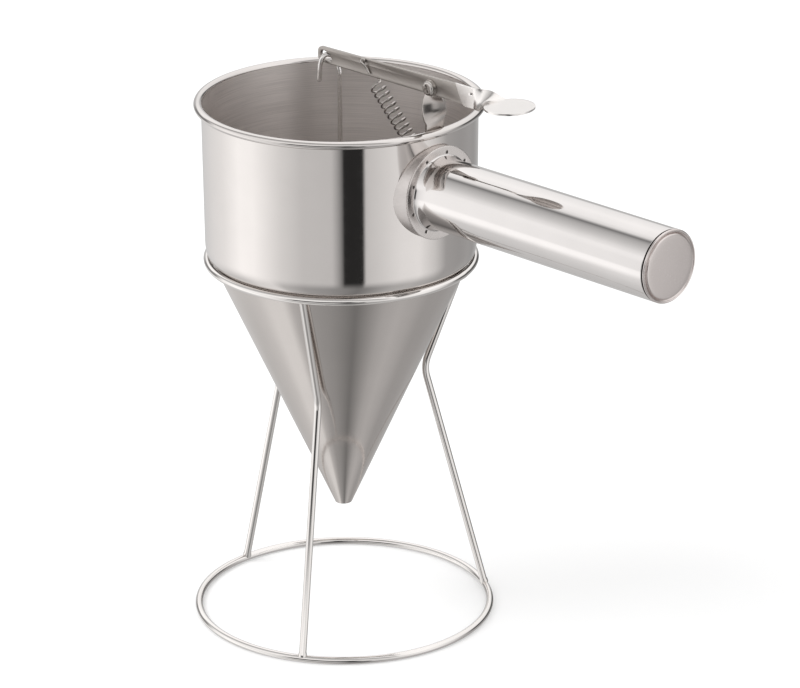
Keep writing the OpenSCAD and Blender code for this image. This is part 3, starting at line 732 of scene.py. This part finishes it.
bpy.ops.object.select_all(action="DESELECT")
bpy.ops.mesh.primitive_plane_add(size=1, location=strip_middle)
bracket = bpy.context.object
bracket.scale = (strip_thickness, strip_width, 1)
bpy.ops.object.transform_apply(location=True, rotation=True, scale=True)
bpy.ops.object.mode_set(mode="EDIT")
levels = [
    twist_start + (twist_end - twist_start) * i / twist_steps for i in range(twist_steps + 1)
] + [bracket_high.z]
level, turned_by = bracket_low.z, 0
for next_level in levels:
    bpy.ops.mesh.extrude_region_move(TRANSFORM_OT_translate={"value": (0, 0, next_level - level)})
    share = min(1, max(0, (next_level - twist_start) / (twist_end - twist_start)))
    turn_to = 90 * share
    if turn_to > turned_by:
        bpy.ops.transform.rotate(
            value=math.radians(turn_to - turned_by), orient_axis="Z",
            center_override=(strip_middle.x, strip_middle.y, next_level)
        )
    level, turned_by = next_level, turn_to
bpy.ops.mesh.select_all(action="SELECT")
bpy.ops.mesh.normals_make_consistent(inside=False)
bpy.ops.object.mode_set(mode="OBJECT")


def round_edges(piece, width, segments=3, angle=40):
    """Round a piece's sharp edges with a bevel that is applied."""
    bpy.ops.object.select_all(action="DESELECT")
    bpy.context.view_layer.objects.active = piece
    piece.select_set(True)
    bevel = piece.modifiers.new("rounding", "BEVEL")
    bevel.width = width
    bevel.segments = segments
    bevel.limit_method = "ANGLE"
    bevel.angle_limit = math.radians(angle)
    bpy.ops.object.modifier_apply(modifier=bevel.name)


round_edges(bracket, 0.3 * mm)
polished_strip = steel("polished_stainless_strip", "#b7b1ad", 0.22, 0.03, 3, (1, 1, 0.4), 0.004)
finish(bracket, "bracket_strip", polished_strip, "funnel", ["pivot_bracket"], 40)

# The spring's eye: a short ring that stands on the strip
eye_height = bracket_low.z + 8.5 * mm
eye_radius, eye_bore, eye_half = 2.5 * mm, 1.1 * mm, 0.6 * mm
eye_outline = [
    (eye_radius, -eye_half), (eye_radius, eye_half), (eye_bore, eye_half),
    (eye_bore, -eye_half), (eye_radius, -eye_half)
]
eye = turned(eye_outline, 48)
round_edges(eye, 0.2 * mm)
eye.rotation_euler = (math.radians(90), 0, 0)
eye.location = (bracket_low.x + eye_radius, strip_middle.y, eye_height)
finish(eye, "spring_eye", polished_strip, "funnel", ["pivot_bracket"], 40)


# Lever
# Stainless strip blanked with a slot for the rod and holes for spring and screw. Its edges are
# broken by tumbling and its sides brushed along the strip, in lines drawn 0.4 mm apart to show.
lever_low, lever_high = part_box("lever_arm")
brushed_lever = steel("brushed_stainless_strip", "#aca6a1", 0.38, 0.06, 0.4, (0.04, 1, 1), 0.006)
lever_corner = 3 * mm
lever_edge = 0.25 * mm
lever_top = lever_low.z + 8.4 * mm
slot_radius = 2.3 * mm
slot_ends = (Vector((-8.6, 313.6)) * mm, Vector((-4.6, 312.4)) * mm)
spring_hole = Vector((22.5, 316.2)) * mm
spring_hole_radius = 1 * mm
pivot_hole = Vector((71.4, 312.9)) * mm
pivot_hole_radius = 2.1 * mm


def blank(outlines, thickness, edge_round):
    """Flat piece from (x, z) outlines: the first is its edge, the others are its holes."""
    bpy.ops.object.select_all(action="DESELECT")
    bpy.ops.curve.primitive_bezier_curve_add()
    curve = bpy.context.object.data
    curve.splines.clear()
    for outline in outlines:
        spline = curve.splines.new("POLY")
        spline.points.add(len(outline) - 1)
        for point, (x, z) in zip(spline.points, outline):
            point.co = (x, z, 0, 1)
        spline.use_cyclic_u = True
    curve.dimensions = "2D"
    curve.fill_mode = "BOTH"
    curve.extrude = thickness / 2 - edge_round
    curve.bevel_depth = edge_round
    curve.bevel_resolution = 2
    curve.offset = -edge_round
    bpy.ops.object.convert(target="MESH")
    bpy.ops.object.mode_set(mode="EDIT")
    bpy.ops.mesh.select_all(action="SELECT")
    bpy.ops.mesh.remove_doubles(threshold=0.002 * mm)
    bpy.ops.mesh.normals_make_consistent(inside=False)
    bpy.ops.object.mode_set(mode="OBJECT")
    return bpy.context.object


def corner(height, start):
    """Rounded corner at the lever's inner end, from an angle on."""
    return arc(
        lever_low.x + lever_corner, height, lever_corner, lever_corner, start, start + 90, 8
    )


def hole(middle, radius, points=24):
    """Outline of a round hole."""
    return arc(*middle, radius, radius, 0, 360 - 360 / points, points - 1)


slot_way = math.degrees(math.atan2(*reversed(slot_ends[1] - slot_ends[0])))
slot_outline = (
    arc(*slot_ends[0], slot_radius, slot_radius, slot_way + 90, slot_way + 270, 16)
    + arc(*slot_ends[1], slot_radius, slot_radius, slot_way - 90, slot_way + 90, 16)
)
lever_outline = (
    [(lever_high.x, lever_low.z), (lever_high.x, lever_high.z)]
    + corner(lever_top - lever_corner, 90)
    + corner(lever_low.z + lever_corner, 180)
)
lever_outlines = [
    lever_outline, slot_outline, hole(spring_hole, spring_hole_radius),
    hole(pivot_hole, pivot_hole_radius)
]
lever = blank(lever_outlines, lever_high.y - lever_low.y, lever_edge)
lever.rotation_euler = (math.radians(90), 0, 0)
lever.location = (0, (lever_low.y + lever_high.y) / 2, 0)
finish(lever, "lever_strip", brushed_lever, "lever", ["lever_arm"], 30)


# Thumb plate
# Pressed from 1 mm sheet: an upright tongue spot-welded on the lever, slanted at its inner end,
# a quarter twist, and a flat oval pad for the thumb. It is polished, and its weld pit is painted
# dark as painted shade.
plate_low, plate_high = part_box("thumb_plate")
plate_thickness = 1 * mm
tongue_start = plate_low.x
tongue_half = 5.5 * mm
twist_from = lever_high.x + 0.8 * mm
twist_to = twist_from + 14.5 * mm
pad_half_length = 12.3 * mm
pad_half_width = 13.8 * mm
pad_middle = plate_high.x - pad_half_length
neck_half = 7.5 * mm
pad_height = 315.3 * mm
tongue_height = 314.3 * mm
plate_y = lever_low.y - plate_thickness / 2
slant_length = 6.5 * mm
slant_fullness = 0.75
tip_half = 0.2 * mm


def twist_share(x):
    """Share of the way through the twist, at a place along the handle."""
    return min(1, max(0, (x - twist_from) / (twist_to - twist_from)))


def plate_half(x):
    """Half width of the plate at a place along the handle."""
    over_pad = 1 - ((x - pad_middle) / pad_half_length) ** 2
    pad = pad_half_width * math.sqrt(max(0, over_pad))
    neck = tongue_half + (neck_half - tongue_half) * twist_share(x) ** 2
    return max(pad, tip_half) if x > pad_middle else max(pad, neck)


bpy.ops.object.select_all(action="DESELECT")
bpy.ops.mesh.primitive_grid_add(x_subdivisions=110, y_subdivisions=36, size=2)
plate = bpy.context.object
for vertex in plate.data.vertices:
    # Columns lie closer together towards the pad's round end
    along = math.sin(math.pi / 4 * (vertex.co.x + 1))
    x = tongue_start + (plate_high.x - tongue_start) * along
    half = plate_half(x)
    across_share = vertex.co.y
    low_edge = -1.0
    if x < tongue_start + slant_length:
        low_edge = 1 - 2 * smooth(min(1, (x - tongue_start) / slant_length) ** slant_fullness)
    offset = half * (low_edge + (1 - low_edge) * (across_share + 1) / 2)
    share = twist_share(x)
    # A quarter turn, half of it even and half of it eased
    turn = math.radians(45 * (share + smooth(share)))
    middle_z = tongue_height + (pad_height - tongue_height) * smooth(share)
    vertex.co = (x, plate_y + offset * math.sin(turn), middle_z + offset * math.cos(turn))
thicken = plate.modifiers.new("sheet", "SOLIDIFY")
thicken.thickness = plate_thickness
thicken.offset = 0
bpy.ops.object.modifier_apply(modifier=thicken.name)
round_edges(plate, 0.25 * mm)
plate_weld = Vector((101.3 * mm, plate_y, 316.3 * mm))
plate_weld_radius = 0.9 * mm
plate_weld_depth = 0.3 * mm
plate_weld_shade_share = 0.75
for vertex in plate.data.vertices:
    away = (vertex.co - plate_weld).length / plate_weld_radius
    if vertex.co.y < plate_y and away < 1:
        vertex.co.y += plate_weld_depth * (1 - away * away)
thumb_steel = steel("polished_stainless_pressing", "#e8e4e1", 0.2, 0.03, 2, (0.4, 1, 1), 0.004)
plate.data.materials.append(thumb_steel)
# The middle of the weld pit is painted dark: painted shade in the hollow
paint_where(plate, pit_shade_paint, lambda place: (
    place.y < plate_y - 0.1 * mm
    and (place - plate_weld).length < plate_weld_shade_share * plate_weld_radius
))
finish(plate, "thumb_plate_sheet", thumb_steel, "lever", ["thumb_plate"], 40)


# Return spring
# Open coil of 1 mm stainless spring wire with a hook at each end: one through the lever's hole,
# one through the eye on the bracket.
spring_radius = 0.5 * mm
coil_radius = 3.75 * mm
curls = 13
curl_steps = 20
coil_start = Vector((28.6, -0.35, 304)) * mm
coil_stop = Vector((60, -0.35, 273.5)) * mm
coil_way = (coil_stop - coil_start).normalized()
coil_side = Vector((-coil_way.z, 0, coil_way.x))


def coil_point(turns):
    """Point on the coil after a number of curls."""
    angle = 2 * math.pi * turns
    middle = coil_start + (coil_stop - coil_start) * turns / curls
    return middle + coil_radius * (coil_side * math.cos(angle) - Vector((0, math.sin(angle), 0)))


# Points of the hooks in millimetres, with the lever's two sides
lever_front, lever_back = -3.3, -1.5
lever_hook = [
    (26.9, lever_front - 0.6, 310.8), (24.9, lever_front - 0.9, 313.6),
    (22.9, lever_front - 1.6, 315.8), (21.5, lever_front - 1.5, 317),
    (22, lever_front - 1.1, 317.9), (23.2, lever_front - 0.8, 317.5),
    (23, lever_front - 0.5, 316.6), (22.5, lever_front, 316.2), (22.5, lever_back, 316.2),
    (22.8, lever_back + 1, 315.6), (24.1, lever_back + 1.4, 313.4), (27.1, lever_back + 1.4, 309.2)
]
eye_hook = [
    (65.55, 1.85, 266.9), (67.65, 1.65, 265), (68.15, 0.65, 264.5), (68.15, -1.35, 264.5),
    (67.55, -2.35, 265), (65.35, -2.55, 267.1)
]
spring_route = (
    [Vector(point) * mm for point in lever_hook]
    + [coil_point(i / curl_steps) for i in range(curls * curl_steps + 1)]
    + [Vector(point) * mm for point in eye_hook]
)
spring = wire(spring_route, spring_radius, smooth=True)
spring_wire = steel("drawn_spring_wire", "#bdb8b4", 0.16, 0.03, 0.6, (1, 1, 1), 0.002)
finish(spring, "spring_wire", spring_wire, None, ["return_spring"])
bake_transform(spring)


# Stopper rod
# Stainless wire, 2.6 mm, straight down the funnel's axis to the plug. Its top is bent over by
# hand to a hook that passes through the lever's slot and hangs down in front.
rod_radius = 1.3 * mm
rod_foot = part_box("stopper_plug")[1].z - 5 * mm
# The straight part's upper points, then the hook's, in millimetres
straight = [(0, 0, 296), (0, 0, 302)]
hook = [
    (0, 0, 305), (-0.5, 0, 307.4), (-1.6, 0, 309.5), (-3.2, 0, 311.4), (-4.9, -0.3, 312.9),
    (-6.2, -1.5, 313.6), (-7.1, -3.2, 313.6), (-7.7, -4.7, 312.5), (-8.1, -5.6, 310.4),
    (-8.4, -6, 307.5), (-8.6, -6.2, 303.5), (-8.8, -6.4, 299.9), (-8.8, -6.4, 299.5)
]
rod_route = [Vector((0, 0, rod_foot))] + [Vector(point) * mm for point in straight + hook]
# The wire's cut end has a broken edge
rod_shares = [1] * (len(rod_route) - 1) + [0.75]
rod = wire(rod_route, rod_radius, rod_shares, smooth=True)
rod_steel = steel("bright_stainless_rod", "#e6e2df", 0.24, 0.04, 0.9, (1, 1, 0.3), 0.002)
finish(rod, "rod_wire", rod_steel, "stopper", ["stopper_rod"])


# Screw, washers, nut and plug
# The pan head screw, its washers and nut, and the plug are turned and tumbled stainless steel.
turned_steel = steel("turned_stainless", "#c4bfbb", 0.22, 0.04, 0.5, (1, 1, 1), 0.006)


def dress(node, material):
    """Give a CAD piece a new material."""
    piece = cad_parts[node]
    piece.data.materials.clear()
    piece.data.materials.append(material)


for node in ("pivot_screw", "head_washer", "spacer_washer", "pivot_nut", "stopper_plug"):
    dress(node, turned_steel)
